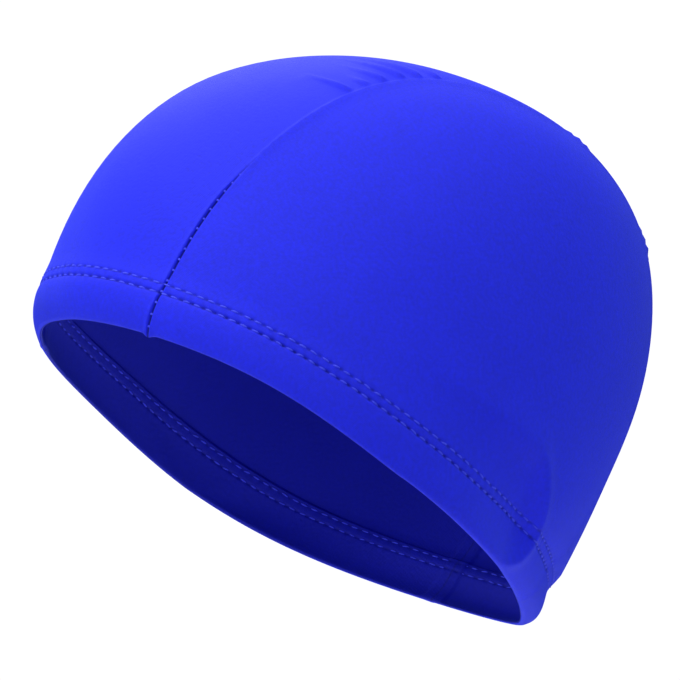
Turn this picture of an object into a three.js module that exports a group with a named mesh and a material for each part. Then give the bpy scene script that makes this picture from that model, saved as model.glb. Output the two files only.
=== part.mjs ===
import * as THREE from "three";

// A stretch cloth swim cap of three panels, in millimetres.
// The cap's own axes are forward (towards the forehead), side (towards the wearer's left) and
// up (out of the crown). The opening lies at up = 0 and the origin is in the middle of it.
const CAP_LENGTH = 190;
const CAP_HALF_WIDTH = 72.5;
const RIM_PITCH = 29.6;
const CORNER_ROUNDING = 4;
const WALL = 1;
const PANEL_GAP = 0.3;
const HEM_HEIGHT = 16.5;
const HEM_ROLL = 3;
const HEM_SIDE_SHARE = 0.3;
const DENT_DEPTH = 2.6;
const PUCKER_HEIGHT = 0.8;
const RIM_WAVE_FADE = 33;
const CLOTH_COLOUR = 0x2f39e0;

// A row for each plane of a fan that turns about the side axis, from the forehead (0 degrees) over
// the crown (90) to the nape (180). reach: from the origin to the skin in the middle plane, as a
// share of the length. sidePower and reachPower: how square the skin's curve is in that plane.
// strip: half the width of the centre panel, as a share of the half width.
const FAN = [
  { turn: 0, reach: 0.493, sidePower: 1.83, reachPower: 2.17, strip: 0.549 },
  { turn: 12, reach: 0.533, sidePower: 1.84, reachPower: 1.93, strip: 0.565 },
  { turn: 30, reach: 0.607, sidePower: 1.55, reachPower: 2.03, strip: 0.558 },
  { turn: 60, reach: 0.681, sidePower: 2.05, reachPower: 2.09, strip: 0.521 },
  { turn: 90, reach: 0.719, sidePower: 3.09, reachPower: 2.37, strip: 0.503 },
  { turn: 120, reach: 0.73, sidePower: 2.06, reachPower: 2.23, strip: 0.472 },
  { turn: 150, reach: 0.561, sidePower: 1.71, reachPower: 2.08, strip: 0.437 },
  { turn: 168, reach: 0.524, sidePower: 1.13, reachPower: 2.2, strip: 0.416 },
  { turn: 180, reach: 0.497, sidePower: 1.1, reachPower: 1.96, strip: 0.397 },
];

// How the rim rises and falls along the cap: forward and rise, as shares of the length.
const RIM_WAVE = [
  { forward: -0.5, rise: -0.001 },
  { forward: -0.25, rise: -0.019 },
  { forward: 0, rise: -0.015 },
  { forward: 0.25, rise: 0.003 },
  { forward: 0.5, rise: -0.009 },
];

// A row for each line of the hem, from the rolled rim to the raw edge of the turned-up cloth and
// the first line above it. up: height as a share of the hem's. push and back: how far outwards at
// the forehead and at the nape, as shares of the hem's roll. wall: how many walls of cloth.
const HEM_ROWS = [
  { up: 0, push: -0.95, back: -0.55, wall: 0.8 },
  { up: 0.035, push: -0.75, back: -0.3, wall: 1.7 },
  { up: 0.1, push: -0.45, back: -0.05, wall: 2 },
  { up: 0.2, push: -0.12, back: 0.2, wall: 2 },
  { up: 0.34, push: 0.17, back: 0.28, wall: 2 },
  { up: 0.5, push: 0.32, back: 0.1, wall: 2 },
  { up: 0.64, push: 0.33, back: -0.18, wall: 2 },
  { up: 0.75, push: 0.25, back: -0.38, wall: 2 },
  { up: 0.83, push: 0.22, back: -0.42, wall: 2 },
  { up: 0.93, push: 0.17, back: -0.35, wall: 2 },
  { up: 1, push: 0.12, back: -0.25, wall: 1 },
  { up: 1.2, push: 0, back: 0, wall: 1 },
];

// The dent of the left side near the nape. forward: its middle, and front and back: its reach each
// way, as shares of the length. up and tall: the middle and the reach up or down, as shares of the
// hem's height. ridge: the height of the ridge round it, as a share of its depth.
const DENT = { forward: -0.262, up: 0.78, front: 0.14, back: 0.053, tall: 0.7, ridge: 0.3 };

// Puckers of the centre panel where it is gathered into its left seam. turn: degrees in the fan.
// length: how far in from the seam, as a share of the strip's half width there, from the shared
// start. push: how far outwards, as a share of the puckers' height.
const PUCKERS = [
  { turn: 61, length: 0.22, push: 0.8 },
  { turn: 64, length: 0.1, push: 0.9 },
  { turn: 66.8, length: 0.19, push: 1 },
  { turn: 69.8, length: 0.3, push: 1 },
  { turn: 72.5, length: 0.32, push: 1 },
  { turn: 75.5, length: 0.24, push: 0.8 },
  { turn: 100.5, length: 0.24, push: 0.6 },
  { turn: 118, length: 0.26, push: 0.6 },
];
const PUCKER_HALF_TURN = 0.8;
const PUCKER_START = 0.04;
// How far the puckers lean towards the forehead: degrees of turn over the strip's half width.
const PUCKER_LEAN = 15;

// The mesh: cells across the centre panel, along a side panel's top, and up each of its ends, and
// the rows of the centre panel in each of the cells along the top.
const STRIP_CELLS = 10;
const TOP_CELLS = 28;
const END_CELLS = 10;
const CREST_ROWS = 3;
const END_TURN = 50;

// A curve of continuous bend through the points (xs, ys), straight at its two ends.
function smoothCurve(xs, ys) {
  const last = xs.length - 1;
  const bend = new Array(xs.length).fill(0);
  const load = new Array(xs.length).fill(0);
  for (let i = 1; i < last; i++) {
    const span = xs[i + 1] - xs[i - 1];
    const share = (xs[i] - xs[i - 1]) / span;
    const pivot = share * bend[i - 1] + 2;
    const after = (ys[i + 1] - ys[i]) / (xs[i + 1] - xs[i]);
    const before = (ys[i] - ys[i - 1]) / (xs[i] - xs[i - 1]);
    bend[i] = (share - 1) / pivot;
    load[i] = ((6 * (after - before)) / span - share * load[i - 1]) / pivot;
  }
  bend[last] = 0;
  for (let i = last - 1; i >= 0; i--) {
    bend[i] = bend[i] * bend[i + 1] + load[i];
  }
  return (x) => {
    let k = 0;
    while (k < last - 1 && x > xs[k + 1]) {
      k += 1;
    }
    const h = xs[k + 1] - xs[k];
    const a = (xs[k + 1] - x) / h;
    const b = 1 - a;
    const curl = ((a ** 3 - a) * bend[k] + (b ** 3 - b) * bend[k + 1]) * (h * h) / 6;
    return a * ys[k] + b * ys[k + 1] + curl;
  };
}

function column(rows, key, name, scale) {
  return smoothCurve(
    rows.map((row) => row[key]),
    rows.map((row) => row[name] * scale),
  );
}

const reachIn = column(FAN, "turn", "reach", CAP_LENGTH);
const sidePowerIn = column(FAN, "turn", "sidePower", 1);
const reachPowerIn = column(FAN, "turn", "reachPower", 1);
const stripIn = column(FAN, "turn", "strip", CAP_HALF_WIDTH);
const riseIn = column(RIM_WAVE, "forward", "rise", CAP_LENGTH);

const degrees = THREE.MathUtils.radToDeg;
const radians = THREE.MathUtils.degToRad;

// The distance from the middle plane, rounded off where it passes through zero, and its inverse.
function rounded(side) {
  return Math.hypot(side, CORNER_ROUNDING) - CORNER_ROUNDING;
}

function unrounded(value) {
  return Math.sqrt((value + CORNER_ROUNDING) ** 2 - CORNER_ROUNDING ** 2);
}

// The skin in the plane at a turn of the fan: its reach at a distance to the side.
function reachAt(turn, side) {
  const share = (rounded(side) / rounded(CAP_HALF_WIDTH)) ** sidePowerIn(turn);
  return reachIn(turn) * (1 - Math.min(1, share)) ** (1 / reachPowerIn(turn));
}

// The skin's distance to the side above a point of the middle plane.
function sideAt(forward, up) {
  const turn = degrees(Math.atan2(up, forward));
  const share = (Math.hypot(forward, up) / reachIn(turn)) ** reachPowerIn(turn);
  const rest = (1 - Math.min(1, share)) ** (1 / sidePowerIn(turn));
  return unrounded(rounded(CAP_HALF_WIDTH) * rest);
}

// One on the skin, more outside it: the slope of this function points outwards.
function skinLevel(forward, side, up) {
  const turn = degrees(Math.atan2(up, forward));
  const across = (rounded(side) / rounded(CAP_HALF_WIDTH)) ** sidePowerIn(turn);
  const along = (Math.hypot(forward, up) / reachIn(turn)) ** reachPowerIn(turn);
  return across + along;
}

function outwards(forward, side, up) {
  const step = 0.05;
  const slope = new THREE.Vector3(
    skinLevel(forward + step, side, up) - skinLevel(forward - step, side, up),
    skinLevel(forward, side + step, up) - skinLevel(forward, side - step, up),
    2 * (skinLevel(forward, side, up + step) - skinLevel(forward, side, up)),
  );
  return slope.normalize();
}

// The point of a fan plane at a distance to the side.
function fanPoint(turn, side) {
  const reach = reachAt(turn, side);
  const angle = radians(turn);
  return { forward: reach * Math.cos(angle), side, up: reach * Math.sin(angle) };
}

// The turn at which the skin stands at a height, at a distance to the side.
function turnAtHeight(up, side, atBack) {
  let lift = 0;
  for (let pass = 0; pass < 12; pass++) {
    const turn = atBack ? 180 - lift : lift;
    lift = degrees(Math.asin(up / reachAt(turn, side)));
  }
  return atBack ? 180 - lift : lift;
}

// The turn at which a seam stands at a height.
function seamTurn(up, offset, atBack) {
  let turn = atBack ? 180 : 0;
  for (let pass = 0; pass < 8; pass++) {
    turn = turnAtHeight(up, stripIn(turn) + offset, atBack);
  }
  return turn;
}

function bump(distance) {
  return Math.exp(-distance * distance);
}

// How far a row of the hem pushes the cloth out: less at the sides than at the two ends.
function hemPush(forward, row) {
  const along = THREE.MathUtils.clamp(forward / (CAP_LENGTH / 2), -1, 1);
  const end = along > 0 ? row.push : row.back;
  return HEM_ROLL * THREE.MathUtils.lerp(HEM_SIDE_SHARE * row.push, end, along * along);
}

// The dent: round and sharp-edged behind its middle, and drawn out and fading ahead of it.
function dentPush(forward, up) {
  const gap = forward / CAP_LENGTH - DENT.forward;
  const rise = (up / HEM_HEIGHT - DENT.up) / DENT.tall;
  const away = Math.hypot(Math.min(0, gap) / DENT.back, rise);
  const ridge = DENT.ridge * bump((away - 1) / 0.3);
  const hollow = Math.max(0, 1 - away * away);
  return DENT_DEPTH * (ridge - hollow) * bump(Math.max(0, gap) / DENT.front);
}

function puckerPush(turn, side) {
  const inset = 1 - side / stripIn(turn);
  let push = 0;
  for (const pucker of PUCKERS) {
    const gap = turn - pucker.turn + PUCKER_LEAN * inset;
    const near = bump(inset / pucker.length) - bump(inset / PUCKER_START);
    push += PUCKER_HEIGHT * pucker.push * near * bump(gap / PUCKER_HALF_TURN);
  }
  return push;
}

// A point of the cap in the part's axes: the skin, moved outwards by depth.
function place(forward, side, up, depth) {
  const out = outwards(forward, side, up).multiplyScalar(depth);
  const rise = riseIn(forward / CAP_LENGTH) * Math.exp(-up / RIM_WAVE_FADE);
  const ahead = forward + out.x;
  const above = up + rise + out.z;
  const pitch = radians(RIM_PITCH);
  return new THREE.Vector3(
    side + out.y,
    above * Math.sin(pitch) - ahead * Math.cos(pitch),
    above * Math.cos(pitch) + ahead * Math.sin(pitch),
  );
}

// A grid cell's outer and inner points. row: the line of the hem table, or none above the hem.
function cell(point, row, push) {
  const { forward, side, up } = point;
  const out = push + (row ? hemPush(forward, row) : 0);
  const wall = WALL * (row ? row.wall : 1);
  return { outer: place(forward, side, up, out), inner: place(forward, side, up, out - wall) };
}

function addQuad(faces, points, a, b, c, d) {
  if (points[a].distanceTo(points[c]) <= points[b].distanceTo(points[d])) {
    faces.push(a, b, c, a, c, d);
  } else {
    faces.push(a, b, d, b, c, d);
  }
}

// A closed sheet of cloth from a grid of cells: its two skins and a strip along each edge.
function sheetGeometry(grid, flipped) {
  const rows = grid.length;
  const columns = grid[0].length;
  const points = [...grid.flat().map((c) => c.outer), ...grid.flat().map((c) => c.inner)];
  const at = (i, j) => i * columns + j;
  const under = (k) => k + rows * columns;
  const faces = [];
  for (let i = 0; i < rows - 1; i++) {
    for (let j = 0; j < columns - 1; j++) {
      const [a, b, c, d] = [at(i, j), at(i, j + 1), at(i + 1, j + 1), at(i + 1, j)];
      addQuad(faces, points, a, b, c, d);
      addQuad(faces, points, under(d), under(c), under(b), under(a));
    }
  }
  const edge = [];
  for (let j = 0; j < columns - 1; j++) edge.push(at(0, j));
  for (let i = 0; i < rows - 1; i++) edge.push(at(i, columns - 1));
  for (let j = columns - 1; j > 0; j--) edge.push(at(rows - 1, j));
  for (let i = rows - 1; i > 0; i--) edge.push(at(i, 0));
  edge.forEach((a, k) => {
    const b = edge[(k + 1) % edge.length];
    addQuad(faces, points, a, under(a), under(b), b);
  });
  if (flipped) {
    faces.reverse();
  }
  const geometry = new THREE.BufferGeometry();
  const numbers = points.flatMap((p) => p.toArray());
  geometry.setAttribute("position", new THREE.Float32BufferAttribute(numbers, 3));
  geometry.setIndex(faces);
  geometry.computeVertexNormals();
  return geometry;
}

const hemTop = HEM_HEIGHT * HEM_ROWS[HEM_ROWS.length - 1].up;

// The turns at which both panels have a point along the seam, above the hem.
function seamStations(offset) {
  const low = seamTurn(hemTop, offset, false);
  const high = seamTurn(hemTop, offset, true);
  const front = [];
  const back = [];
  for (let i = 0; i <= END_CELLS; i++) {
    front.push(THREE.MathUtils.lerp(low, END_TURN, i / END_CELLS));
    back.push(THREE.MathUtils.lerp(high, 180 - END_TURN, i / END_CELLS));
  }
  const top = [];
  for (let j = 0; j <= TOP_CELLS; j++) {
    top.push(THREE.MathUtils.lerp(END_TURN, 180 - END_TURN, j / TOP_CELLS));
  }
  return { low, high, front, back, top };
}

function centrePanel() {
  const offset = -PANEL_GAP / 2;
  const stations = seamStations(offset);
  const crestRows = TOP_CELLS * CREST_ROWS;
  const crest = Array.from({ length: crestRows - 1 }, (_, k) =>
    THREE.MathUtils.lerp(END_TURN, 180 - END_TURN, (k + 1) / crestRows),
  );
  const turns = [...stations.front, ...crest, ...stations.back.slice().reverse()];
  const shares = turns.map((turn) => (turn - stations.low) / (stations.high - stations.low));
  const across = Array.from({ length: STRIP_CELLS + 1 }, (_, j) =>
    Math.sin(Math.PI * (j / STRIP_CELLS - 0.5)),
  );
  const widthAt = (turn, share) => share * (stripIn(turn) + offset);
  const hemLine = (row, atBack) =>
    across.map((share) => {
      const up = row.up * HEM_HEIGHT;
      const width = share * (stripIn(seamTurn(up, offset, atBack)) + offset);
      return cell(fanPoint(turnAtHeight(up, width, atBack), width), row, 0);
    });
  const bodyLine = (share) =>
    across.map((across1) => {
      const low = turnAtHeight(hemTop, widthAt(stations.low, across1), false);
      const high = turnAtHeight(hemTop, widthAt(stations.high, across1), true);
      const turn = THREE.MathUtils.lerp(low, high, share);
      const width = widthAt(turn, across1);
      return cell(fanPoint(turn, width), null, puckerPush(turn, width));
    });
  const front = HEM_ROWS.map((row) => hemLine(row, false));
  const back = HEM_ROWS.map((row) => hemLine(row, true)).reverse();
  return [...front, ...shares.slice(1, -1).map(bodyLine), ...back];
}

// The grid of the left side panel. The right one is its mirror image without the dents.
function sidePanel(mirrored) {
  const offset = PANEL_GAP / 2;
  const stations = seamStations(offset);
  const onSeam = (turn) => fanPoint(turn, stripIn(turn) + offset);
  const shares = Array.from({ length: TOP_CELLS + 1 }, (_, j) => j / TOP_CELLS);
  const point = (forward, up) => ({ forward, side: sideAt(forward, up), up });
  const lines = HEM_ROWS.map((row) => {
    const up = row.up * HEM_HEIGHT;
    const start = onSeam(seamTurn(up, offset, false)).forward;
    const end = onSeam(seamTurn(up, offset, true)).forward;
    return shares.map((share) => ({ at: point(THREE.MathUtils.lerp(start, end, share), up), row }));
  });
  const base = lines[lines.length - 1].map((spot) => spot.at);
  const top = stations.top.map(onSeam);
  const front = stations.front.map(onSeam);
  const back = stations.back.map(onSeam);
  const corners = [base[0], base[TOP_CELLS], top[0], top[TOP_CELLS]];
  for (let i = 1; i <= END_CELLS; i++) {
    const v = i / END_CELLS;
    const blend = (u, j, axis) =>
      (1 - v) * base[j][axis] + v * top[j][axis] + (1 - u) * front[i][axis] + u * back[i][axis] -
      (1 - v) * ((1 - u) * corners[0][axis] + u * corners[1][axis]) -
      v * ((1 - u) * corners[2][axis] + u * corners[3][axis]);
    lines.push(
      shares.map((u, j) => ({ at: point(blend(u, j, "forward"), blend(u, j, "up")), row: null })),
    );
  }
  return lines.map((line) =>
    line.map((spot) => {
      const made = cell(spot.at, spot.row, mirrored ? 0 : dentPush(spot.at.forward, spot.at.up));
      if (mirrored) {
        made.outer.x *= -1;
        made.inner.x *= -1;
      }
      return made;
    }),
  );
}

function addPanel(group, name, grid, flipped) {
  const finish = { color: CLOTH_COLOUR, roughness: 0.75, metalness: 0 };
  const material = new THREE.MeshStandardMaterial(finish);
  const mesh = new THREE.Mesh(sheetGeometry(grid, flipped), material);
  mesh.name = name;
  group.add(mesh);
}

const group = new THREE.Group();
group.name = "swim_cap";
addPanel(group, "centre_panel", centrePanel(), false);
addPanel(group, "left_side_panel", sidePanel(false), false);
addPanel(group, "right_side_panel", sidePanel(true), true);

export default group;
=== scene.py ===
import math

import bpy
import numpy as np
from bpy.props import FloatProperty, FloatVectorProperty, PointerProperty
from mathutils import Matrix, Vector


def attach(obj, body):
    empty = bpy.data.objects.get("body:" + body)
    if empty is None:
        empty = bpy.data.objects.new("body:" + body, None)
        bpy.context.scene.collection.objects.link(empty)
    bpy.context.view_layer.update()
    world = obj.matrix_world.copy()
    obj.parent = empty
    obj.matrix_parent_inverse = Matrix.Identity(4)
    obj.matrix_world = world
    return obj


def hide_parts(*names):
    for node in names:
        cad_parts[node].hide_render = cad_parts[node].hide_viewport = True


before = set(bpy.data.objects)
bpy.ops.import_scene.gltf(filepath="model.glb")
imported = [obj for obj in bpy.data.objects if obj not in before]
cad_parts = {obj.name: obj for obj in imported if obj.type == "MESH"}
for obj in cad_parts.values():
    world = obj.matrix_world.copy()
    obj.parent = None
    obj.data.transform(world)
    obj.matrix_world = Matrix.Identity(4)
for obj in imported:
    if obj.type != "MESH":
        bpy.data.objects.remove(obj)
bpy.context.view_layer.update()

bl_info = {
    "name": "Swim Cap",
    "version": (1, 0, 0),
    "blender": (4, 5, 0),
    "location": "View3D > Sidebar > Swim Cap",
    "description": "Makes a stretch cloth swim cap of three sewn panels and a plain studio for it",
    "category": "Add Mesh",
}

# The cap's own axes are forward (towards the forehead), side (towards the wearer's left) and up
# (out of the crown). The functions on shape count in millimetres, and a mesh is in metres.
MM = 1000.0

# The skin in the planes of a fan that turns about the side axis: turn in degrees, reach as a share
# of the length, the powers of the side and the reach, and half the centre panel's width as a share
# of the half width.
FAN = np.array([
    (0, 0.493, 1.83, 2.17, 0.549),
    (12, 0.533, 1.84, 1.93, 0.565),
    (30, 0.607, 1.55, 2.03, 0.558),
    (60, 0.681, 2.05, 2.09, 0.521),
    (90, 0.719, 3.09, 2.37, 0.503),
    (120, 0.73, 2.06, 2.23, 0.472),
    (150, 0.561, 1.71, 2.08, 0.437),
    (168, 0.524, 1.13, 2.2, 0.416),
    (180, 0.497, 1.1, 1.96, 0.397),
])
# The rim's rise along the cap: forward and rise, as shares of the length.
RIM_WAVE = np.array([(-0.5, -0.001), (-0.25, -0.019), (0, -0.015), (0.25, 0.003), (0.5, -0.009)])
# The hem's outline: up as a share of its height, and how far it is pushed outwards at the forehead
# and at the nape, as shares of its roll.
HEM_PROFILE = np.array([
    (0, -0.8, -0.55),
    (0.035, -0.7, -0.3),
    (0.1, -0.45, -0.05),
    (0.2, -0.12, 0.2),
    (0.34, 0.17, 0.28),
    (0.5, 0.32, 0.1),
    (0.64, 0.33, -0.18),
    (0.75, 0.25, -0.38),
    (0.83, 0.22, -0.42),
    (0.93, 0.17, -0.35),
    (1, 0.12, -0.25),
    (1.2, 0, 0),
])
# Where the hem's outline has died out, as a share of the hem's height.
HEM_END = HEM_PROFILE[-1, 0]
# The dent of the left side near the nape. forward: its middle, and front and back: its reach each
# way, as shares of the length. up: the height of its middle, and above and below: its reach each
# way, as shares of the hem's height. lean: how far the middle moves forwards for each hem's height
# above it. ridge: the height of the ridge round it, as a share of its depth, and ridge_width: half
# its width, as a share of the reach.
DENT = {
    "forward": -0.262, "front": 0.14, "back": 0.05, "lean": 0.045,
    "up": 0.78, "above": 1.15, "below": 0.7, "ridge": 0.3, "ridge_width": 0.3,
}
# Puckers at the centre panel's left seam: turn in degrees, length as a share of the panel's half
# width, push as a share of the puckers' height.
PUCKERS = np.array([
    (61, 0.22, 0.8),
    (64, 0.1, 0.9),
    (66.8, 0.19, 1),
    (69.8, 0.3, 1),
    (72.5, 0.32, 1),
    (75.5, 0.24, 0.8),
    (100.5, 0.24, 0.6),
    (118, 0.26, 0.6),
])
# Half the width of a pucker, and how far it leans forwards over the half width, in degrees of turn.
PUCKER_TURN = (0.4, 15)
# Where the puckers start beside the seam, as a share of the half width.
PUCKER_START = 0.04
# The lower and the upper row of hem stitches: heights as shares of the hem's height, how strongly
# each pulls the cloth in, and how much nearer to the forehead the upper row's stitches lie, as a
# share of the pitch.
STITCH_ROWS = (0.745, 0.915)
ROW_PULLS = (1.6, 0.7)
ROW_SHIFT = 0.12
# What the hem's thread does to the cloth, in millimetres: the depth and half width of the groove
# along a row, half the size of a needle's pit along and across the row, the height and reach of the
# ripples, and half the width of the row's line of painted shade.
STITCH_PULL = {
    "depth": 0.17, "width": 0.55, "pit_along": 0.5, "pit_across": 0.42, "ripple": 0.05, "reach": 1.8,
    "line": 0.4,
}
# The hem's thread, in millimetres: how deep the lower row lies below the cloth's outer face and its
# inner face, how much less deep the upper row lies, and how far a stitch bows.
HEM_THREAD = {"outside": 0.3, "inside": 0.2, "upper": 0.18, "bow": 0.18}
# How unevenly the stitches lie: the spread of their slide along the row, in millimetres, and of
# their turn, in radians.
UNEVEN = (0.18, 0.09)
# Turns of the fan between which a seam's groove closes above the forehead, in degrees.
SEAM_CLOSES = (29, 42)
# The cloth beside a seam, in millimetres. At the forehead it has two ridges: centre and side are
# their heights on either panel, away their distance from the seam, and width their half width.
# Further up it has one at the seam: raised is its height, steep and slow are its half widths on the
# centre and the side panel. line: half the width of the painted shade along the groove.
SEAM = {
    "centre": 0.26, "side": 0.06, "away": 1, "width": 0.55,
    "raised": 0.26, "steep": 0.6, "slow": 2.2, "line": 0.27,
}
# A thread across a seam, in millimetres: length, width and thickness, how far it bows, and how deep
# it lies.
SEAM_THREAD = {"size": np.array([1.2, 0.7, 0.4]), "bow": 0.3, "depth": 0.42}
# Inside, in millimetres: half the width over which the hem's raw edge and a seam's sewn edges step
# down, how thick the sewn edges are, how far above the rim they have their full thickness, and
# half the width of the painted shade along a seam.
INSIDE = {"hem": 0.15, "sewn": 0.35, "thick": 0.55, "full": 1.5, "line": 0.3}
# The drop of the rim at the left seam of the forehead, in millimetres: depth, half width and the
# height over which it fades.
RIM_DROP = {"depth": 0.9, "width": 1.5, "fade": 2}
# Painted shade on the cloth, as shares of the shade colour: in a needle's pit, along a row and in a
# seam's groove, and inside everywhere, at the stitches and at the seams.
PAINTED_SHADE = {"pit": 0.5, "row": 0.15, "groove": 0.9, "inside": 0.5, "stitches": 0.3, "seams": 0.2}
# Parts of the knit's tone: the ribs, the fine mottle, the broad mottle and the plain rest.
TONE = {"ribs": 0.05, "mottle": 0.44, "cloud": 0.12, "plain": 0.7}
# Distances of the first columns from a seam, in millimetres, where the groove needs them close, and
# the spacing of the others on the centre and the side panel.
SEAM_COLUMNS = np.array([0, 0.12, 0.24, 0.38, 0.55, 0.75, 1.0, 1.3, 1.7])
CENTRE_SPACING = 0.62
SIDE_SPACING = 0.55
# Length of a side panel's rows, in millimetres, for which its columns are spaced.
SIDE_SPAN = 195
# Turns that part the rows of the centre panel into stretches, in degrees, and how many rows each
# stretch has with both its ends. They are closest over the puckers.
ROW_TURNS = (57, 80, 125)
ROW_LINES = (22, 64, 44, 32)
# Rows of a side panel above its hem: low less one that lie step millimetres apart, then high less
# one that come closer towards the crest.
SIDE_ROWS = {"low": 10, "step": 1.6, "high": 46}
# The lights: name, place and size in metres, and tint. Their powers are settings of the studio.
LIGHTS = (
    ("key", (-0.1, -1.4, 0.4), 1.2, (1, 1, 1)),
    ("top", (0.1, -0.25, 1.7), 1.4, (1, 1, 1)),
    ("fill", (1.2, -0.6, 1.3), 1.0, (1, 1, 1)),
    ("edge", (0.3, 1.5, 0.3), 0.8, (0.45, 0.65, 1)),
    ("back", (-1.0, 0.2, 1.25), 0.8, (1, 1, 1)),
)
# The middle of the cap, which the lights face, in metres.
CAP_MIDDLE = Vector((0, 0.02, 0.045))


def length(name, description, metres):
    return FloatProperty(
        name=name, description=description, default=metres, subtype="DISTANCE", unit="LENGTH"
    )


def number(name, description, value):
    return FloatProperty(name=name, description=description, default=value)


def colour(name, description, value):
    return FloatVectorProperty(
        name=name, description=description, default=value, subtype="COLOR", min=0, max=1
    )


class CapShape(bpy.types.PropertyGroup):
    """Sizes of the cap's cloth"""

    cap_length: length("Length", "The opening from forehead to nape", 0.19)
    half_width: length("Half width", "From the middle to the skin at the side", 0.0725)
    corner: length("Corner rounding", "Rounding of the skin where it crosses the middle", 0.004)
    rim_fade: length("Rim wave fade", "Height over which the rim's wave dies out", 0.033)
    rim_pitch: FloatProperty(
        name="Rim pitch",
        description="Tilt of the opening, higher at the forehead",
        default=math.radians(29.6),
        subtype="ANGLE",
    )
    wall: length("Wall", "Thickness of one layer of cloth", 0.0009)
    hem_height: length("Hem height", "From the rim to the raw edge inside", 0.0165)
    hem_roll: length("Hem roll", "How far the hem's outline swings in and out", 0.003)
    hem_side: number("Hem at the sides", "Share of the forehead's roll at the sides", 0.3)
    dent_depth: length("Dent depth", "Depth of the dent near the nape", 0.0038)
    pucker_height: length("Pucker height", "Height of the puckers beside the crown", 0.0015)


class CapSewing(bpy.types.PropertyGroup):
    """Sizes of the seams and stitches"""

    pitch: length("Pitch", "From one stitch to the next", 0.0037)
    dash: length("Stitch length", "Length of the thread that shows in a stitch", 0.0023)
    thread: length("Thread width", "Width of the thread", 0.00055)
    groove_depth: length("Groove depth", "Depth of the groove at a panel seam", 0.0007)
    groove_width: length("Groove width", "Half the width of the groove at a panel seam", 0.00034)
    pit_depth: length("Needle pits", "Depth of the pits where the needle went in", 0.0003)
    allowance: length("Seam allowance", "Width of the sewn edges inside", 0.0035)


class CapCloth(bpy.types.PropertyGroup):
    """Colours and finish of the cloth and thread"""

    cloth: colour("Cloth", "Colour of the knit", (0.004, 0.013, 0.88))
    # The shade colour is painted shade: the knit is mixed towards it in grooves, pits and rows of
    # stitches, and inside.
    shade: colour("Shade", "Colour of the knit deep in a groove or inside", (0.003, 0.005, 0.14))
    thread: colour("Thread", "Colour of the sewing thread", (0.06, 0.08, 1.0))
    sheen: colour("Sheen", "Tint of the sheen", (0.22, 0.34, 1.0))
    wale: length("Wale", "Width of one rib of the knit", 0.0006)
    relief: length("Relief", "Height of the knit's ribs", 0.00005)
    roughness: number("Roughness", "Roughness of the cloth", 0.7)


class CapStudio(bpy.types.PropertyGroup):
    """The floor, lights and camera"""

    floor_height: length("Floor height", "Height of the floor below the opening's middle", -0.3)
    floor_width: length("Floor width", "Width of the floor", 1.4)
    floor_colour: colour("Floor", "Colour of the floor", (0.8, 0.8, 0.81))
    key: number("Key light", "Power of the large light on the left", 9.5)
    top: number("Top light", "Power of the light straight above", 26.0)
    fill: number("Fill light", "Power of the light above the camera", 9.5)
    edge: number("Edge light", "Power of the light behind on the right", 4.5)
    back: number("Back light", "Power of the light above behind the crown", 10.5)
    ambient: number("Ambient", "Strength of the light from all around", 0.17)


def smooth_curve(xs, ys):
    """The natural cubic spline through the points (xs, ys): between two neighbours a and b the
    straight mix of the heights, plus the cubic that the bends at a and b ask for."""
    gaps = np.diff(xs)
    count = len(xs)
    inner = np.arange(1, count - 1)
    system = np.eye(count)
    system[inner, inner - 1] = gaps[:-1]
    system[inner, inner] = 2 * (gaps[:-1] + gaps[1:])
    system[inner, inner + 1] = gaps[1:]
    load = np.zeros(count)
    load[inner] = 6 * np.diff(np.diff(ys) / gaps)
    bend = np.linalg.solve(system, load)

    def curve(x):
        k = np.clip(np.searchsorted(xs, x) - 1, 0, count - 2)
        a = (xs[k + 1] - x) / gaps[k]
        b = 1 - a
        curl = ((a**3 - a) * bend[k] + (b**3 - b) * bend[k + 1]) * gaps[k] ** 2 / 6
        return a * ys[k] + b * ys[k + 1] + curl

    return curve


def bump(x):
    """A bell: one at zero, exp(-x squared) away from it."""
    return np.exp(-x * x)


def ramp(x, start, end):
    """Zero before start, one after end, and 3 t squared minus 2 t cubed between them."""
    t = np.clip((x - start) / (end - start), 0, 1)
    return t * t * (3 - 2 * t)


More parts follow.
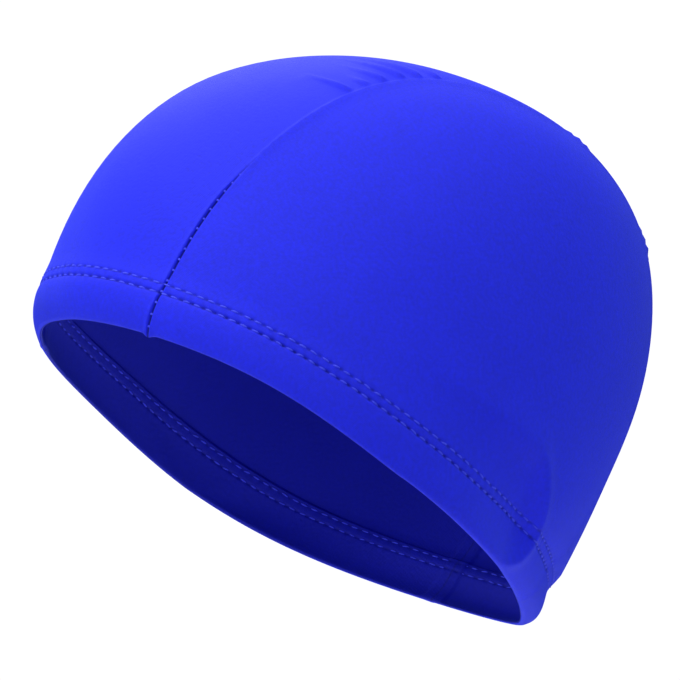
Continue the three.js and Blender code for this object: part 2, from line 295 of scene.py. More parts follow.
class Skin:
    """The cap's skin and everything that pushes it in or out, in millimetres."""

    def __init__(self, shape, sewing):
        self.length = shape.cap_length * MM
        self.half_width = shape.half_width * MM
        self.corner = shape.corner * MM
        self.fade = shape.rim_fade * MM
        self.pitch_angle = shape.rim_pitch
        self.wall = shape.wall * MM
        self.hem = shape.hem_height * MM
        self.roll = shape.hem_roll * MM
        self.hem_side = shape.hem_side
        self.dent = shape.dent_depth * MM
        self.pucker = shape.pucker_height * MM
        self.dash = sewing.dash * MM
        self.thread = sewing.thread * MM
        self.groove_depth = sewing.groove_depth * MM
        self.groove_width = sewing.groove_width * MM
        self.pit_depth = sewing.pit_depth * MM
        self.allowance = sewing.allowance * MM
        turns = FAN[:, 0]
        self.reach_in = smooth_curve(turns, FAN[:, 1] * self.length)
        self.side_power = smooth_curve(turns, FAN[:, 2])
        self.reach_power = smooth_curve(turns, FAN[:, 3])
        self.strip_in = smooth_curve(turns, FAN[:, 4] * self.half_width)
        self.rise_in = smooth_curve(RIM_WAVE[:, 0], RIM_WAVE[:, 1] * self.length)
        self.front_in = smooth_curve(HEM_PROFILE[:, 0], HEM_PROFILE[:, 1])
        self.back_in = smooth_curve(HEM_PROFILE[:, 0], HEM_PROFILE[:, 2])
        self.widest = self.rounded(self.half_width)
        self.measure_hem(sewing.pitch * MM)

    def rounded(self, side):
        """Distance to the side that starts softly: the root of side squared plus corner squared,
        less the corner."""
        return np.hypot(side, self.corner) - self.corner

    def level(self, forward, side, up):
        """One on the skin and more outside it: (side / half width) to the side power plus
        (distance from the side axis / reach) to the reach power."""
        turn = np.degrees(np.arctan2(up, forward))
        across = (self.rounded(side) / self.widest) ** self.side_power(turn)
        along = (np.hypot(forward, up) / self.reach_in(turn)) ** self.reach_power(turn)
        return across + along

    def reach_at(self, turn, side):
        """Distance of the skin from the side axis: reach times (1 - side share to its power) to
        one over the reach power."""
        share = np.minimum(1, (self.rounded(side) / self.widest) ** self.side_power(turn))
        return self.reach_in(turn) * (1 - share) ** (1 / self.reach_power(turn))

    def side_at(self, forward, up):
        """Distance of the skin to the side above a point of the middle plane: the same curve
        solved for the side."""
        turn = np.degrees(np.arctan2(up, forward))
        share = (np.hypot(forward, up) / self.reach_in(turn)) ** self.reach_power(turn)
        rest = (1 - np.minimum(1, share)) ** (1 / self.side_power(turn))
        return np.sqrt((self.widest * rest + self.corner) ** 2 - self.corner**2)

    def outwards(self, forward, side, up):
        """Unit vector along the slope of level, from differences over a small step."""
        step = 0.05
        slope = np.stack([
            self.level(forward + step, side, up) - self.level(forward - step, side, up),
            self.level(forward, side + step, up) - self.level(forward, side - step, up),
            2 * (self.level(forward, side, up + step) - self.level(forward, side, up)),
        ])
        return slope / np.linalg.norm(slope, axis=0)

    def to_part(self, forward, side, up):
        """The part's axes: the cap's turned about the side axis by the rim's pitch, in metres."""
        tilt_sin, tilt_cos = math.sin(self.pitch_angle), math.cos(self.pitch_angle)
        y = up * tilt_sin - forward * tilt_cos
        z = up * tilt_cos + forward * tilt_sin
        return np.stack([side + 0 * y, y, z], -1) / MM

    def place(self, forward, side, up, depth, drop=0):
        """Point of the part: the skin's point moved outwards by depth, raised by the rim's wave,
        which fades as exp(-up / fade), and lowered by drop."""
        out = self.outwards(forward, side, up) * depth
        rise = self.rise_in(forward / self.length) * np.exp(-up / self.fade) - drop
        return self.to_part(forward + out[0], side + out[1], up + rise + out[2])

    def fan_point(self, turn, side):
        """Forward and up of the skin: its reach times the cosine and the sine of the turn."""
        reach = self.reach_at(turn, side)
        return reach * np.cos(np.radians(turn)), reach * np.sin(np.radians(turn))

    def turn_at_height(self, up, side, at_back):
        """Turn of the fan where the skin stands at a height: asin(up / reach), repeated with
        each new reach."""
        lift = 0 * (up + side)
        for _ in range(14):
            turn = 180 - lift if at_back else lift
            lift = np.degrees(np.arcsin(np.clip(up / self.reach_at(turn, side), -1, 1)))
        return 180 - lift if at_back else lift

    def seam_turn(self, up, at_back):
        """Turn of the fan where the seam stands at a height, repeated with each new width of the
        centre panel."""
        turn = 0 * up + (180 if at_back else 0)
        for _ in range(10):
            turn = self.turn_at_height(up, self.strip_in(turn), at_back)
        return turn

    def outline(self, up, heading):
        """Point of the skin at a height in a heading from the middle, 0 ahead and pi behind:
        the distance is halved in again and again between nothing and the cap's length."""
        near = 0 * (up + heading)
        far = near + self.length
        for _ in range(40):
            middle = (near + far) / 2
            at = (middle * np.cos(heading), middle * np.sin(heading))
            outside = self.level(at[0], at[1], up + 0 * middle) > 1
            near = np.where(outside, near, middle)
            far = np.where(outside, middle, far)
        return near * np.cos(heading), near * np.sin(heading)

    def measure_hem(self, pitch):
        """Length along the hem, from the middle of the forehead to the middle of the nape, as a
        function of the heading, and the pitch that fits a whole number of stitches into it."""
        self.headings = np.linspace(0, math.pi, 1500)
        up = np.mean(STITCH_ROWS) * self.hem
        forward, side = self.outline(up, self.headings)
        points = self.place(forward, side, up + 0 * forward, 0) * MM
        steps = np.linalg.norm(np.diff(points, axis=0), axis=1)
        self.lengths = np.concatenate([[0], np.cumsum(steps)])
        self.stitches = round(self.lengths[-1] / pitch)
        self.pitch = self.lengths[-1] / self.stitches

    def along_hem(self, forward, side):
        """Length along the hem to a point, by its heading from the middle."""
        return np.interp(np.arctan2(np.abs(side), forward), self.headings, self.lengths)

    def seam_distance(self, forward, side, up):
        """Distance from the panel seam: the chord, in one plane of the fan, from the seam to the
        point. It is negative on the centre panel."""
        turn = np.degrees(np.arctan2(up, forward))
        strip = self.strip_in(turn)
        over = np.abs(side) - strip
        rise = self.reach_at(turn, side) - self.reach_at(turn, strip)
        return np.sign(over) * np.hypot(over, rise)

    def hem_push(self, forward, up):
        """The hem's roll times its profile: at the side a share of the forehead's profile, and
        from there to the forehead's or the nape's with the square of the distance."""
        along = np.clip(forward / (self.length / 2), -1, 1)
        height = np.minimum(up / self.hem, HEM_END)
        front = self.front_in(height)
        end = np.where(along > 0, front, self.back_in(height))
        side = self.hem_side * front
        return np.where(height < HEM_END, side + (end - side) * along**2, 0) * self.roll

    def dent_push(self, forward, side, up):
        """A hollow of 1 - a squared, where a is the distance from the dent's middle as a share of
        its reach, inside a ridge that is a bell round a = 1. Upwards the reach is longer and the
        middle leans forwards. Ahead of the middle a counts the height alone and everything fades
        as a bell. The right side has no dent."""
        rise = up / self.hem - DENT["up"]
        gap = forward / self.length - DENT["forward"] - DENT["lean"] * np.maximum(0, rise)
        rise = rise / np.where(rise > 0, DENT["above"], DENT["below"])
        away = np.hypot(np.minimum(0, gap) / DENT["back"], rise)
        ridge = DENT["ridge"] * bump((away - 1) / DENT["ridge_width"])
        push = ridge - np.maximum(0, 1 - away * away)
        fade = bump(np.maximum(0, gap) / DENT["front"])
        return np.where(side > 0, push * fade * self.dent, 0)

    def pucker_push(self, turn, side):
        """The sum of the puckers: for each a narrow bell in turn, whose middle leans forwards away
        from the left seam, times a bell in the distance from the seam."""
        inset = 1 - side / self.strip_in(turn)
        push = 0 * turn
        half_turn, lean = PUCKER_TURN
        for middle, reach, share in PUCKERS:
            gap = turn - middle + lean * inset
            near = bump(inset / reach) - bump(inset / PUCKER_START)
            push = push + share * near * bump(gap / half_turn)
        return push * self.pucker

    def sway(self, forward, side, up):
        """Slight unevenness of stretched cloth: three slow waves across the skin."""
        first = np.sin(forward / 9.1 + up / 14.3 + 0.4 * np.sin(side / 7.7))
        second = np.sin(forward / 21 - up / 8.9 + 1.3)
        third = np.sin(side / 11.3 + up / 17.9 + 2.1)
        return 0.05 * first + 0.06 * second + 0.05 * third

    def stitch_push(self, forward, side, up):
        """Where thread pulls the hem in: a groove along each row, deeper along the lower one, a
        pit at each needle hole, and a cosine of ripples, all as bells across the row. Second
        value: the painted shade in the pits and along the rows."""
        along = self.along_hem(forward, side) / self.pitch
        pull = STITCH_PULL
        push = 0 * forward
        shade = 0 * forward
        for k, (row, share) in enumerate(zip(STITCH_ROWS, ROW_PULLS)):
            away = up - row * self.hem
            hole = self.pitch * ((along + 0.5 + ROW_SHIFT * k) % 1 - 0.5)
            groove = bump(away / pull["width"])
            pit = bump(away / pull["pit_across"]) * bump(hole / pull["pit_along"])
            ripple = np.cos(2 * math.pi * (along + ROW_SHIFT * k)) * bump(away / pull["reach"])
            push = push - pull["depth"] * share * groove - self.pit_depth * share * pit
            push = push - pull["ripple"] * ripple
            # Painted shade in each needle's pit and along each row.
            shade = shade + PAINTED_SHADE["pit"] * pit + PAINTED_SHADE["row"] * share * bump(away / pull["line"])
        return push, np.clip(shade, 0, 1)

    def seam_push(self, distance, turn):
        """Where thread pulls a seam in at the forehead: a narrow bell at the seam, and beside it
        a soft ridge, higher on the centre panel, where the sewn edges lie. Further up the groove
        closes, and one ridge at the seam takes the place of both: a bell that is narrow on the
        centre panel and wide on the side panel."""
        closed = ramp(turn, *SEAM_CLOSES)
        pull = 1 - closed
        groove = pull * bump(distance / self.groove_width)
        on_centre = distance < 0
        height = np.where(on_centre, SEAM["centre"], SEAM["side"])
        beside = height * bump((np.abs(distance) - SEAM["away"]) / SEAM["width"])
        raised = SEAM["raised"] * bump(distance / np.where(on_centre, SEAM["steep"], SEAM["slow"]))
        ridge = beside + (raised - beside) * closed
        # Painted shade: a dark line along the groove, painted into the cloth's colour.
        shade = PAINTED_SHADE["groove"] * pull * bump(distance / SEAM["line"])
        return ridge - self.groove_depth * groove, shade

    def fold(self, up):
        """Half the hem's thickness near the rim: a quarter circle whose radius is the wall."""
        near = np.clip(1 - up / self.wall, 0, 1)
        return self.wall * np.sqrt(1 - near * near)

    def layers(self, forward, side, up, more=0):
        """The outer and inner points of the cloth, and the painted shade of each."""
        shape = self.hem_push(forward, up) + self.dent_push(forward, side, up) + more
        shape = shape + self.sway(forward, side, up)
        distance = self.seam_distance(forward, side, up)
        stitch, stitch_painted_shade = self.stitch_push(forward, side, up)
        seam, seam_painted_shade = self.seam_push(distance, np.degrees(np.arctan2(up, forward)))
        fold = self.fold(up)
        doubled = 1 - ramp(up, self.hem - INSIDE["hem"], self.hem + INSIDE["hem"])
        near, far = self.allowance - INSIDE["sewn"], self.allowance + INSIDE["sewn"]
        edge = ramp(up, 0, INSIDE["full"]) * ramp(np.abs(distance), far, near)
        outer = shape + stitch + seam + fold - self.wall
        inner = shape - self.wall * doubled - self.wall - np.where(up < self.wall, fold - self.wall, 0)
        inner = inner - INSIDE["thick"] * edge - 0.5 * stitch
        drop = RIM_DROP["depth"] * bump(distance / RIM_DROP["width"]) * np.exp(-up / RIM_DROP["fade"])
        drop = drop * ((side > 0) & (forward > 0))
        # Painted shade outside: in the seams' grooves, the needle pits and along the rows of stitches.
        outer_painted_shade = np.maximum(stitch_painted_shade, seam_painted_shade)
        # Painted shade inside: the whole inner face, more at the stitches and the seams.
        inner_painted_shade = PAINTED_SHADE["inside"] + PAINTED_SHADE["stitches"] * stitch_painted_shade
        inner_painted_shade = inner_painted_shade + PAINTED_SHADE["seams"] * bump(distance / INSIDE["line"])
        return (
            self.place(forward, side, up, outer, drop),
            self.place(forward, side, up, inner, drop),
            outer_painted_shade,
            inner_painted_shade,
        )


def hem_heights(skin):
    """Heights of the hem's rows: round the fold as the wall times one less the cosine, then
    evenly, and closer over the stitches, from 1.2 mm below them to 0.6 mm above the raw edge."""
    fold = skin.wall * (1 - np.cos(np.linspace(0, math.pi / 2, 7)))
    start = STITCH_ROWS[0] * skin.hem - 1.2
    low = np.linspace(skin.wall, start, 12)[1:-1]
    stitched = np.arange(start, skin.hem + 0.6, 0.3)
    high = np.linspace(skin.hem + 0.8, HEM_END * skin.hem, 5)
    return np.concatenate([fold, low, stitched, high])


def even_columns(span, spacing):
    """Shares from 0 to 1 along a line of that length: close at both seams, even between."""
    count = int(span / spacing)
    inner = np.linspace(SEAM_COLUMNS[-1], span - SEAM_COLUMNS[-1], count)[1:-1]
    return np.concatenate([SEAM_COLUMNS, inner, (span - SEAM_COLUMNS)[::-1]]) / span


def column_lengths(points):
    """Length along each column of a grid of points from its first row, in millimetres."""
    steps = np.linalg.norm(np.diff(points, axis=0), axis=2) * MM
    return np.cumsum(np.concatenate([np.zeros_like(steps[:1]), steps]), axis=0)


def cloth_mesh(name, outer, inner, outer_painted_shade, inner_painted_shade, wales, courses):
    """A closed sheet: the grid of outer points, the grid of inner points turned round, and a
    strip along the edge. wales and courses give each point's place in the knit, in millimetres."""
    rows, columns = outer.shape[:2]
    count = rows * columns
    points = np.concatenate([outer.reshape(-1, 3), inner.reshape(-1, 3)])
    index = np.arange(count).reshape(rows, columns)
    quads = np.stack([index[:-1, :-1], index[:-1, 1:], index[1:, 1:], index[1:, :-1]], -1)
    quads = quads.reshape(-1, 4)
    rim = np.concatenate([index[0, :-1], index[:-1, -1], index[-1, :0:-1], index[:0:-1, 0]])
    after = np.roll(rim, -1)
    border = np.stack([rim, rim + count, after + count, after], -1)
    faces = np.concatenate([quads, quads[:, ::-1] + count, border])
    corners = points[faces]
    across = np.cross(corners[:, 2] - corners[:, 0], corners[:, 3] - corners[:, 1])
    if (across * corners.mean(1)).sum() < 0:
        faces = faces[:, ::-1]
    mesh = bpy.data.meshes.new(name)
    mesh.from_pydata(points, [], faces)
    mesh.update()
    # The shade attribute carries painted shade into the cloth's colour.
    shade = mesh.attributes.new("shade", "FLOAT", "POINT")
    values = np.concatenate([outer_painted_shade.ravel(), inner_painted_shade.ravel()]).astype(np.float32)
    shade.data.foreach_set("value", values)
    add_uv(mesh, np.stack([np.tile(wales.ravel(), 2), np.tile(courses.ravel(), 2)], -1))
    return make_object(name, mesh)


def add_uv(mesh, places):
    """UV map of the knit: each point's place in millimetres, a hundredth as large."""
    corner_points = np.empty(len(mesh.loops), np.int32)
    mesh.loops.foreach_get("vertex_index", corner_points)
    layer = mesh.uv_layers.new(name="knit")
    layer.data.foreach_set("uv", (places[corner_points] / 100).astype(np.float32).ravel())


def make_object(name, mesh):
    """Shades the mesh smoothly and puts it into the scene."""
    mesh.polygons.foreach_set("use_smooth", np.ones(len(mesh.polygons), bool))
    made = bpy.data.objects.new(name, mesh)
    bpy.context.scene.collection.objects.link(made)
    return made


def centre_cloth(skin):
    """The centre panel as a grid of rows from the forehead's rim over the crown to the nape's
    rim, and columns from seam to seam. Hem rows stand at one height. The rows between turn from
    the front hem's top to the back one's, with a share of the way at each column."""
    heights = hem_heights(skin)
    span = 2 * skin.strip_in(0.0)
    across = even_columns(span, CENTRE_SPACING) * 2 - 1

    def hem_rows(at_back):
        up = heights[:, None] + 0 * across
        width = across * skin.strip_in(skin.seam_turn(heights, at_back))[:, None]
        forward, _ = skin.fan_point(skin.turn_at_height(up, width, at_back), width)
        return forward, width, up

    top = heights[-1]
    low, high = skin.seam_turn(np.array([top]), False)[0], skin.seam_turn(np.array([top]), True)[0]
    ends = (low, *ROW_TURNS, high)
    stretches = [np.linspace(a, b, lines)[1:] for a, b, lines in zip(ends, ends[1:], ROW_LINES)]
    turns = np.concatenate(stretches)[:-1]
    shares = ((turns - low) / (high - low))[:, None]

    def edge_turn(turn, at_back):
        return skin.turn_at_height(top + 0 * across, across * skin.strip_in(turn), at_back)

    turn = edge_turn(low, False) * (1 - shares) + edge_turn(high, True) * shares
    width = across * skin.strip_in(turn)
    forward, up = skin.fan_point(turn, width)
    front, back = hem_rows(False), hem_rows(True)
    grids = [np.concatenate([a, b, c[::-1]]) for a, b, c in zip(front, (forward, width, up), back)]
    turned = np.degrees(np.arctan2(grids[2], grids[0]))
    above = ramp(grids[2], skin.hem, HEM_END * skin.hem)
    more = skin.pucker_push(turned, grids[1]) * above
    layers = skin.layers(*grids, more)
    courses = column_lengths(layers[0])
    return cloth_mesh("centre_cloth", *layers, grids[1], courses)


def side_cloth(skin, mirrored):
    """A side panel as a grid of level rows from the rim to the crest of its seam, closer towards
    the crest with the square of the way left, each from the seam in front to the seam behind. Its
    edge lies a little under the centre panel's, so that no light comes through."""
    under = 0.06
    turns = np.linspace(0, 180, 6001)
    strip = skin.strip_in(turns) - under
    forward, up = skin.fan_point(turns, strip)
    crest = int(np.argmax(up))
    heights = hem_heights(skin)
    low = heights[-1] + SIDE_ROWS["step"] * np.arange(1, SIDE_ROWS["low"])
    left = 1 - np.arange(1, SIDE_ROWS["high"]) / SIDE_ROWS["high"]
    heights = np.concatenate([heights, low, low[-1] + (up[crest] - low[-1]) * (1 - left**2)])
    front = np.interp(heights, up[: crest + 1], forward[: crest + 1])
    back = np.interp(heights, up[:crest:-1], forward[:crest:-1])
    shares = even_columns(SIDE_SPAN, SIDE_SPACING)
    ahead = front[:, None] * (1 - shares) + back[:, None] * shares
    over = heights[:, None] + 0 * ahead
    side = skin.side_at(ahead, over)
    outer, inner, outer_painted_shade, inner_painted_shade = skin.layers(ahead, -side if mirrored else side, over)
    courses = column_lengths(outer)
    name = "right_side_cloth" if mirrored else "left_side_cloth"
    return cloth_mesh(name, outer, inner, outer_painted_shade, inner_painted_shade, ahead, courses)


def thread_mesh(name, middles, along, outward, size, bow):
    """Short threads, one at each middle: a tube along the unit vector along, whose ellipse
    shrinks to its ends as the root of 1 - 0.93 t squared, and whose centre line bows outwards by
    bow times 1 - t squared. size: length, width and thickness. Both are in metres."""
    rings, sides = 7, 6
    t = np.linspace(-1, 1, rings)[None, :, None, None]
    a = np.linspace(0, 2 * math.pi, sides, endpoint=False)[None, None, :, None]
    taper = np.sqrt(1 - 0.93 * t * t)
    middles, along, outward = (v[:, None, None, :] for v in (middles, along, outward))
    across = np.cross(outward, along)
    spine = middles + along * (t * size[0] / 2) + outward * (bow * (1 - t * t))
    ring = across * np.cos(a) * size[1] / 2 + outward * np.sin(a) * size[2] / 2
    points = (spine + ring * taper).reshape(-1, 3)
    count = len(middles)
    start = np.arange(count)[:, None, None] * rings * sides
    ring = start + np.arange(rings - 1)[None, :, None] * sides
    j = np.arange(sides)[None, None, :]
    following = (j + 1) % sides
    corners = [ring + j, ring + sides + j, ring + sides + following, ring + following]
    quads = np.stack(np.broadcast_arrays(*corners), -1).reshape(-1, 4)
    first = start[:, 0] + np.arange(sides)
    last = first[:, ::-1] + (rings - 1) * sides
    mesh = bpy.data.meshes.new(name)
    mesh.from_pydata(points, [], quads.tolist() + first.tolist() + last.tolist())
    mesh.update()
    places = np.broadcast_to(t * size[0] / 2 * MM, (count, rings, sides, 1))
    turns = np.broadcast_to(a, (count, rings, sides, 1))
    add_uv(mesh, np.concatenate([places, turns], -1).reshape(-1, 2))
    return make_object(name, mesh)


def mirrored_too(vectors):
    """The vectors and their mirror images on the right side."""
    return np.concatenate([vectors, vectors * (-1, 1, 1)])


def unit(vectors):
    """The vectors divided by their lengths."""
    return vectors / np.linalg.norm(vectors, axis=-1, keepdims=True)


def hem_row_frames(skin, row, shift, depth):
    """Middle, direction along the hem and outward direction of each stitch of a row, on both
    halves of the cap. shift: how far along the row they lie, as a share of the pitch. depth: how
    far the thread lies below the cloth's plain skin."""
    middle = (np.arange(skin.stitches) + 0.5 + shift) * skin.pitch
    up = row * skin.hem

    def at(lengths, deeper=0.0):
        heading = np.interp(lengths, skin.lengths, skin.headings)
        forward, side = skin.outline(up, heading)
        level = up + 0 * forward
        shape = skin.hem_push(forward, level) + skin.sway(forward, side, level)
        dent = skin.dent_push(forward, side, level)
        left = skin.place(forward, side, level, shape + dent + deeper)
        right = skin.place(forward, side, level, shape + deeper) * (-1, 1, 1)
        return np.concatenate([left, right])

    points = at(middle, -depth)
    along = unit(at(middle + 0.5) - at(middle - 0.5))
    outward = unit(at(middle, 1.0) - at(middle))
    return points, along, outward


def uneven(points, along, outward):
    """The stitches a little out of true: each slid along its row and turned about its outward
    direction by a small random amount, the same each time."""
    chance = np.random.default_rng(7)
    slide, turn = chance.normal(0, UNEVEN, (len(points), 2)).T[:, :, None]
    across = np.cross(outward, along)
    return points + along * slide / MM, unit(along + across * turn)


def cloth_finish(name, finish):
    """Knit: ribs of V-shaped loops from the UV map, in relief and slightly in tone, a soft
    mottle, darker with painted shade where the shade attribute is high, under a soft sheen."""
    material = bpy.data.materials.new(name)
    material.use_nodes = True
    tree = material.node_tree
    shader = tree.nodes["Principled BSDF"]
    shader.inputs["Roughness"].default_value = finish.roughness
    shader.inputs["Specular IOR Level"].default_value = 0.38
    shader.inputs["Sheen Weight"].default_value = 0.2
    shader.inputs["Sheen Roughness"].default_value = 0.4
    shader.inputs["Sheen Tint"].default_value = (*finish.sheen, 1)
    place = tree.nodes.new("ShaderNodeUVMap")
    place.uv_map = "knit"
    apart = tree.nodes.new("ShaderNodeSeparateXYZ")
    tree.links.new(place.outputs["UV"], apart.inputs[0])

    def maths(operation, first, second=0.0):
        node = tree.nodes.new("ShaderNodeMath")
        node.operation = operation
        for socket, value in zip(node.inputs, (first, second)):
            if isinstance(value, (int, float)):
                socket.default_value = value
            else:
                tree.links.new(value, socket)
        return node.outputs[0]

    per_wale = 0.1 / finish.wale
    across = maths("PINGPONG", maths("MULTIPLY", apart.outputs[0], per_wale), 0.5)
    slant = maths("MULTIPLY", across, 7.0)
    climb = maths("MULTIPLY", apart.outputs[1], per_wale * 1.3 * 2 * math.pi)
    loops = maths("SINE", maths("ADD", climb, slant))
    rib = maths("SINE", maths("MULTIPLY", across, 2 * math.pi))
    knit = maths("ADD", maths("MULTIPLY", loops, 0.35), rib)
    mottle = tree.nodes.new("ShaderNodeTexNoise")
    mottle.inputs["Scale"].default_value = 900
    mottle.inputs["Detail"].default_value = 3
    cloud = tree.nodes.new("ShaderNodeTexNoise")
    cloud.inputs["Scale"].default_value = 60
    cloud.inputs["Detail"].default_value = 2
    where = tree.nodes.new("ShaderNodeTexCoord")
    tree.links.new(where.outputs["Object"], mottle.inputs["Vector"])
    tree.links.new(where.outputs["Object"], cloud.inputs["Vector"])
    ribs = maths("MULTIPLY", knit, TONE["ribs"])
    tone = maths("ADD", ribs, maths("MULTIPLY", mottle.outputs[0], TONE["mottle"]))
    tone = maths("ADD", tone, maths("MULTIPLY", cloud.outputs[0], TONE["cloud"]))
    tone = maths("ADD", tone, TONE["plain"])
    base = tree.nodes.new("ShaderNodeVectorMath")
    base.operation = "SCALE"
    base.inputs[0].default_value = finish.cloth
    tree.links.new(tone, base.inputs["Scale"])
    # Painted shade: the colour is mixed towards the shade colour by the shade attribute.
    shade = tree.nodes.new("ShaderNodeAttribute")
    shade.attribute_name = "shade"
    mix = tree.nodes.new("ShaderNodeMix")
    mix.data_type = "RGBA"
    tree.links.new(shade.outputs["Fac"], mix.inputs["Factor"])
    tree.links.new(base.outputs[0], mix.inputs["A"])
    mix.inputs["B"].default_value = (*finish.shade, 1)
    tree.links.new(mix.outputs["Result"], shader.inputs["Base Color"])
    relief = tree.nodes.new("ShaderNodeBump")
    relief.inputs["Distance"].default_value = finish.relief
    relief.inputs["Strength"].default_value = 1
    height = maths("ADD", knit, maths("MULTIPLY", mottle.outputs[0], 2.0))
    tree.links.new(height, relief.inputs["Height"])
    tree.links.new(relief.outputs[0], shader.inputs["Normal"])
    return material


def thread_finish(name, finish):
    """Thread: twisted plies in relief along the UV map, under a brighter sheen."""
    material = bpy.data.materials.new(name)
    material.use_nodes = True
    tree = material.node_tree
    shader = tree.nodes["Principled BSDF"]
    shader.inputs["Base Color"].default_value = (*finish.thread, 1)
    shader.inputs["Roughness"].default_value = 0.5
    shader.inputs["Specular IOR Level"].default_value = 0.3
    shader.inputs["Sheen Weight"].default_value = 0.15
    shader.inputs["Sheen Tint"].default_value = (*finish.sheen, 1)
    place = tree.nodes.new("ShaderNodeUVMap")
    place.uv_map = "knit"
    twist = tree.nodes.new("ShaderNodeTexWave")
    twist.wave_type = "BANDS"
    twist.bands_direction = "DIAGONAL"
    twist.inputs["Scale"].default_value = 60
    tree.links.new(place.outputs["UV"], twist.inputs["Vector"])
    relief = tree.nodes.new("ShaderNodeBump")
    relief.inputs["Distance"].default_value = 0.00005
    tree.links.new(twist.outputs["Fac"], relief.inputs["Height"])
    tree.links.new(relief.outputs[0], shader.inputs["Normal"])
    return material


def finish_of(kind):
    """The one material of a kind, made the first time it is asked for."""
    made = bpy.data.materials.get(kind)
    if made is None:
        make = thread_finish if kind == "thread" else cloth_finish
        made = make(kind, bpy.context.scene.cap_cloth)
    return made


def current_skin():
    """The skin with the sizes that the scene holds now."""
    scene = bpy.context.scene
    return Skin(scene.cap_shape, scene.cap_sewing)


def dress(piece, kind, node=None):
    """Gives a piece its finish and says where it belongs in the frame."""
    piece.data.materials.append(finish_of(kind))
    if node:
        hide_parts(node)
    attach(piece, "root")


class CAP_OT_centre_cloth(bpy.types.Operator):
    """Makes the centre panel, from the forehead's rim over the crown to the nape's rim"""

    bl_idname = "swim_cap.centre_cloth"
    bl_label = "Centre panel"

    def execute(self, context):
        piece = centre_cloth(current_skin())
        dress(piece, "knit", "centre_panel")
        return {"FINISHED"}


class CAP_OT_side_cloths(bpy.types.Operator):
    """Makes the left and the right side panel, from the rim to the seams beside the crown"""

    bl_idname = "swim_cap.side_cloths"
    bl_label = "Side panels"

    def execute(self, context):
        for mirrored, node in ((False, "left_side_panel"), (True, "right_side_panel")):
            piece = side_cloth(current_skin(), mirrored)
            dress(piece, "knit", node)
        return {"FINISHED"}


class CAP_OT_hem_stitches(bpy.types.Operator):
    """Makes the two rows of hem stitches, outside and inside"""

    bl_idname = "swim_cap.hem_stitches"
    bl_label = "Hem stitches"

    def execute(self, context):
        skin = current_skin()
        size = np.array([skin.dash, skin.thread, 0.6 * skin.thread]) / MM
        inside = 2 * skin.wall - HEM_THREAD["inside"]
        for face, sign, depth in (("outer", 1, HEM_THREAD["outside"]), ("inner", -1, inside)):
            rows = [
                hem_row_frames(skin, row, -ROW_SHIFT * k, depth - sign * HEM_THREAD["upper"] * k)
                for k, row in enumerate(STITCH_ROWS)
            ]
            points, along, outward = (np.concatenate(parts) for parts in zip(*rows))
            points, along = uneven(points, along, outward)
            name = f"hem_stitches_{face}"
            piece = thread_mesh(name, points, along, sign * outward, size, HEM_THREAD["bow"] / MM)
            dress(piece, "thread")
        return {"FINISHED"}


class CAP_OT_seam_stitches(bpy.types.Operator):
    """Makes the threads that cross the grooves of the two panel seams at the forehead"""

    bl_idname = "swim_cap.seam_stitches"
    bl_label = "Seam stitches"

    def execute(self, context):
        skin = current_skin()
        turns = np.linspace(0, 180, 4001)

        def at(turn, aside=0.0, deeper=0.0):
            side = skin.strip_in(turn) + aside
            forward, up = skin.fan_point(turn, side)
            shape = skin.hem_push(forward, up) + skin.sway(forward, side, up)
            return skin.place(forward, side, up, shape + deeper)

        steps = np.linalg.norm(np.diff(at(turns), axis=0), axis=1) * MM
        lengths = np.concatenate([[0], np.cumsum(steps)])
        count = round(lengths[-1] / skin.pitch)
        middles = (np.arange(1, count) - 0.35) * lengths[-1] / count
        turn = np.interp(middles, lengths, turns)
        turn = turn[turn < SEAM_CLOSES[1]]
        points = mirrored_too(at(turn, 0, -SEAM_THREAD["depth"]))
        along = mirrored_too(unit(at(turn, 0.4) - at(turn, -0.4)))
        outward = mirrored_too(unit(at(turn, 0, 1.0) - at(turn)))
        size, bow = SEAM_THREAD["size"] / MM, SEAM_THREAD["bow"] / MM
        piece = thread_mesh("seam_stitches", points, along, outward, size, bow)
        dress(piece, "thread")
        return {"FINISHED"}


class CAP_OT_studio(bpy.types.Operator):
    """Makes the pale floor, the soft lights and the camera"""

    bl_idname = "swim_cap.studio"
    bl_label = "Studio"

    def execute(self, context):
        studio = context.scene.cap_studio
        floor(studio)
        camera()
        for name, place, size, tint in LIGHTS:
            area_light(name, place, size, tint, getattr(studio, name))
        surroundings(studio.ambient)
        context.scene.view_settings.view_transform = "Standard"
        return {"FINISHED"}


def floor(studio):
    """A square sheet of paper: a flat grid whose points all have the floor's height, with a
    faint tooth in its finish."""
    lines = 25
    half = studio.floor_width / 2
    across = np.linspace(-half, half, lines)
    x, y = np.meshgrid(across, across)
    points = np.stack([x, y, 0 * x + studio.floor_height], -1).reshape(-1, 3)
    index = np.arange(lines * lines).reshape(lines, lines)
    quads = np.stack([index[:-1, :-1], index[:-1, 1:], index[1:, 1:], index[1:, :-1]], -1)
    mesh = bpy.data.meshes.new("floor")
    mesh.from_pydata(points, [], quads.reshape(-1, 4))
    mesh.update()
    paper = bpy.data.materials.new("paper")
    paper.use_nodes = True
    tree = paper.node_tree
    shader = tree.nodes["Principled BSDF"]
    shader.inputs["Base Color"].default_value = (*studio.floor_colour, 1)
    shader.inputs["Roughness"].default_value = 0.9
    tooth = tree.nodes.new("ShaderNodeTexNoise")
    tooth.inputs["Scale"].default_value = 700
    relief = tree.nodes.new("ShaderNodeBump")
    relief.inputs["Distance"].default_value = 0.0001
    tree.links.new(tooth.outputs[0], relief.inputs["Height"])
    tree.links.new(relief.outputs[0], shader.inputs["Normal"])
    sheet = make_object("floor", mesh)
    sheet.data.materials.append(paper)


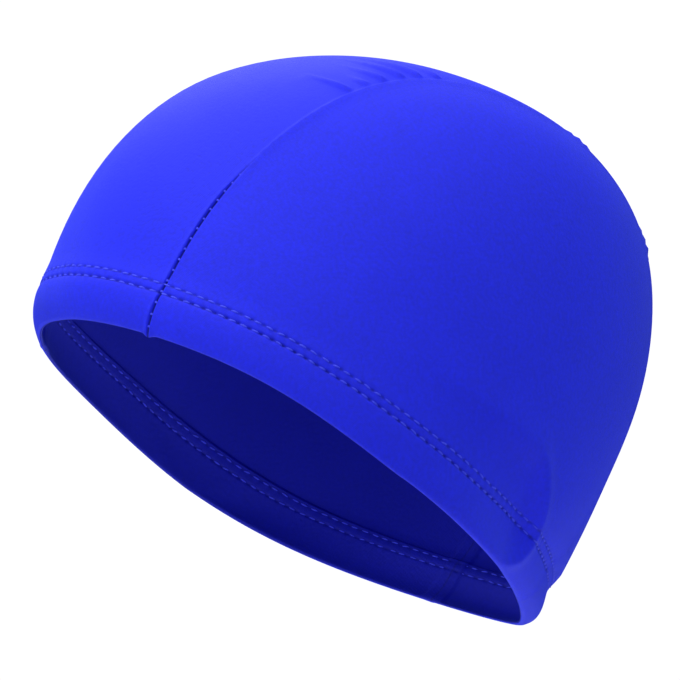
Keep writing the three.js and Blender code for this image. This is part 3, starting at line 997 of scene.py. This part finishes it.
def area_light(name, place, size, tint, power):
    """A square light at a place, turned to the middle of the cap."""
    lamp = bpy.data.lights.new(name, "AREA")
    lamp.color = tint
    lamp.size = size
    lamp.energy = power
    made = bpy.data.objects.new(name, lamp)
    made.location = place
    made.rotation_euler = (CAP_MIDDLE - made.location).to_track_quat("-Z", "Y").to_euler()
    bpy.context.scene.collection.objects.link(made)


def surroundings(ambient):
    """A white room for the camera, and a dimmer, cooler one as light."""
    world = bpy.data.worlds.new("room")
    world.use_nodes = True
    bpy.context.scene.world = world
    tree = world.node_tree
    light = tree.nodes["Background"]
    light.inputs["Color"].default_value = (0.5, 0.68, 1, 1)
    light.inputs["Strength"].default_value = ambient
    white = tree.nodes.new("ShaderNodeBackground")
    white.inputs["Color"].default_value = (1, 1, 1, 1)
    white.inputs["Strength"].default_value = 1.05
    path = tree.nodes.new("ShaderNodeLightPath")
    mix = tree.nodes.new("ShaderNodeMixShader")
    tree.links.new(path.outputs["Is Camera Ray"], mix.inputs[0])
    tree.links.new(light.outputs[0], mix.inputs[1])
    tree.links.new(white.outputs[0], mix.inputs[2])
    tree.links.new(mix.outputs[0], tree.nodes["World Output"].inputs["Surface"])


def camera():
    """Looks at the cap's left side from a little ahead and slightly below, from far away."""
    lens = bpy.data.cameras.new("camera")
    lens.lens = 214.74
    lens.sensor_width = 36
    lens.clip_end = 20
    made = bpy.data.objects.new("camera", lens)
    right = Vector((0.46782, 0.8838, 0.00651))
    ahead = Vector((-0.88163, 0.46613, 0.0739))
    made.location = (1.11356, -0.57208, -0.05099)
    made.rotation_euler = Matrix((right, right.cross(ahead), -ahead)).transposed().to_euler()
    bpy.context.scene.collection.objects.link(made)
    bpy.context.scene.camera = made


OPERATORS = (
    CAP_OT_centre_cloth,
    CAP_OT_side_cloths,
    CAP_OT_hem_stitches,
    CAP_OT_seam_stitches,
    CAP_OT_studio,
)
GROUPS = {
    "cap_shape": CapShape,
    "cap_sewing": CapSewing,
    "cap_cloth": CapCloth,
    "cap_studio": CapStudio,
}


class CAP_PT_sidebar(bpy.types.Panel):
    """Lists the cap's settings and the pieces that can be made"""

    bl_idname = "CAP_PT_sidebar"
    bl_label = "Swim Cap"
    bl_space_type = "VIEW_3D"
    bl_region_type = "UI"
    bl_category = "Swim Cap"

    def draw(self, context):
        for name, group in GROUPS.items():
            box = self.layout.box()
            box.label(text=group.__doc__)
            for setting in group.__annotations__:
                box.prop(getattr(context.scene, name), setting)
        for operator in OPERATORS:
            self.layout.operator(operator.bl_idname)


def register():
    for made in (*GROUPS.values(), *OPERATORS, CAP_PT_sidebar):
        bpy.utils.register_class(made)
    for name, group in GROUPS.items():
        setattr(bpy.types.Scene, name, PointerProperty(type=group))


def unregister():
    for name in GROUPS:
        delattr(bpy.types.Scene, name)
    for made in (CAP_PT_sidebar, *reversed(OPERATORS), *GROUPS.values()):
        bpy.utils.unregister_class(made)


def main():
    register()
    bpy.ops.swim_cap.centre_cloth()
    bpy.ops.swim_cap.side_cloths()
    bpy.ops.swim_cap.hem_stitches()
    bpy.ops.swim_cap.seam_stitches()
    bpy.ops.swim_cap.studio()


if __name__ == "__main__":
    main()
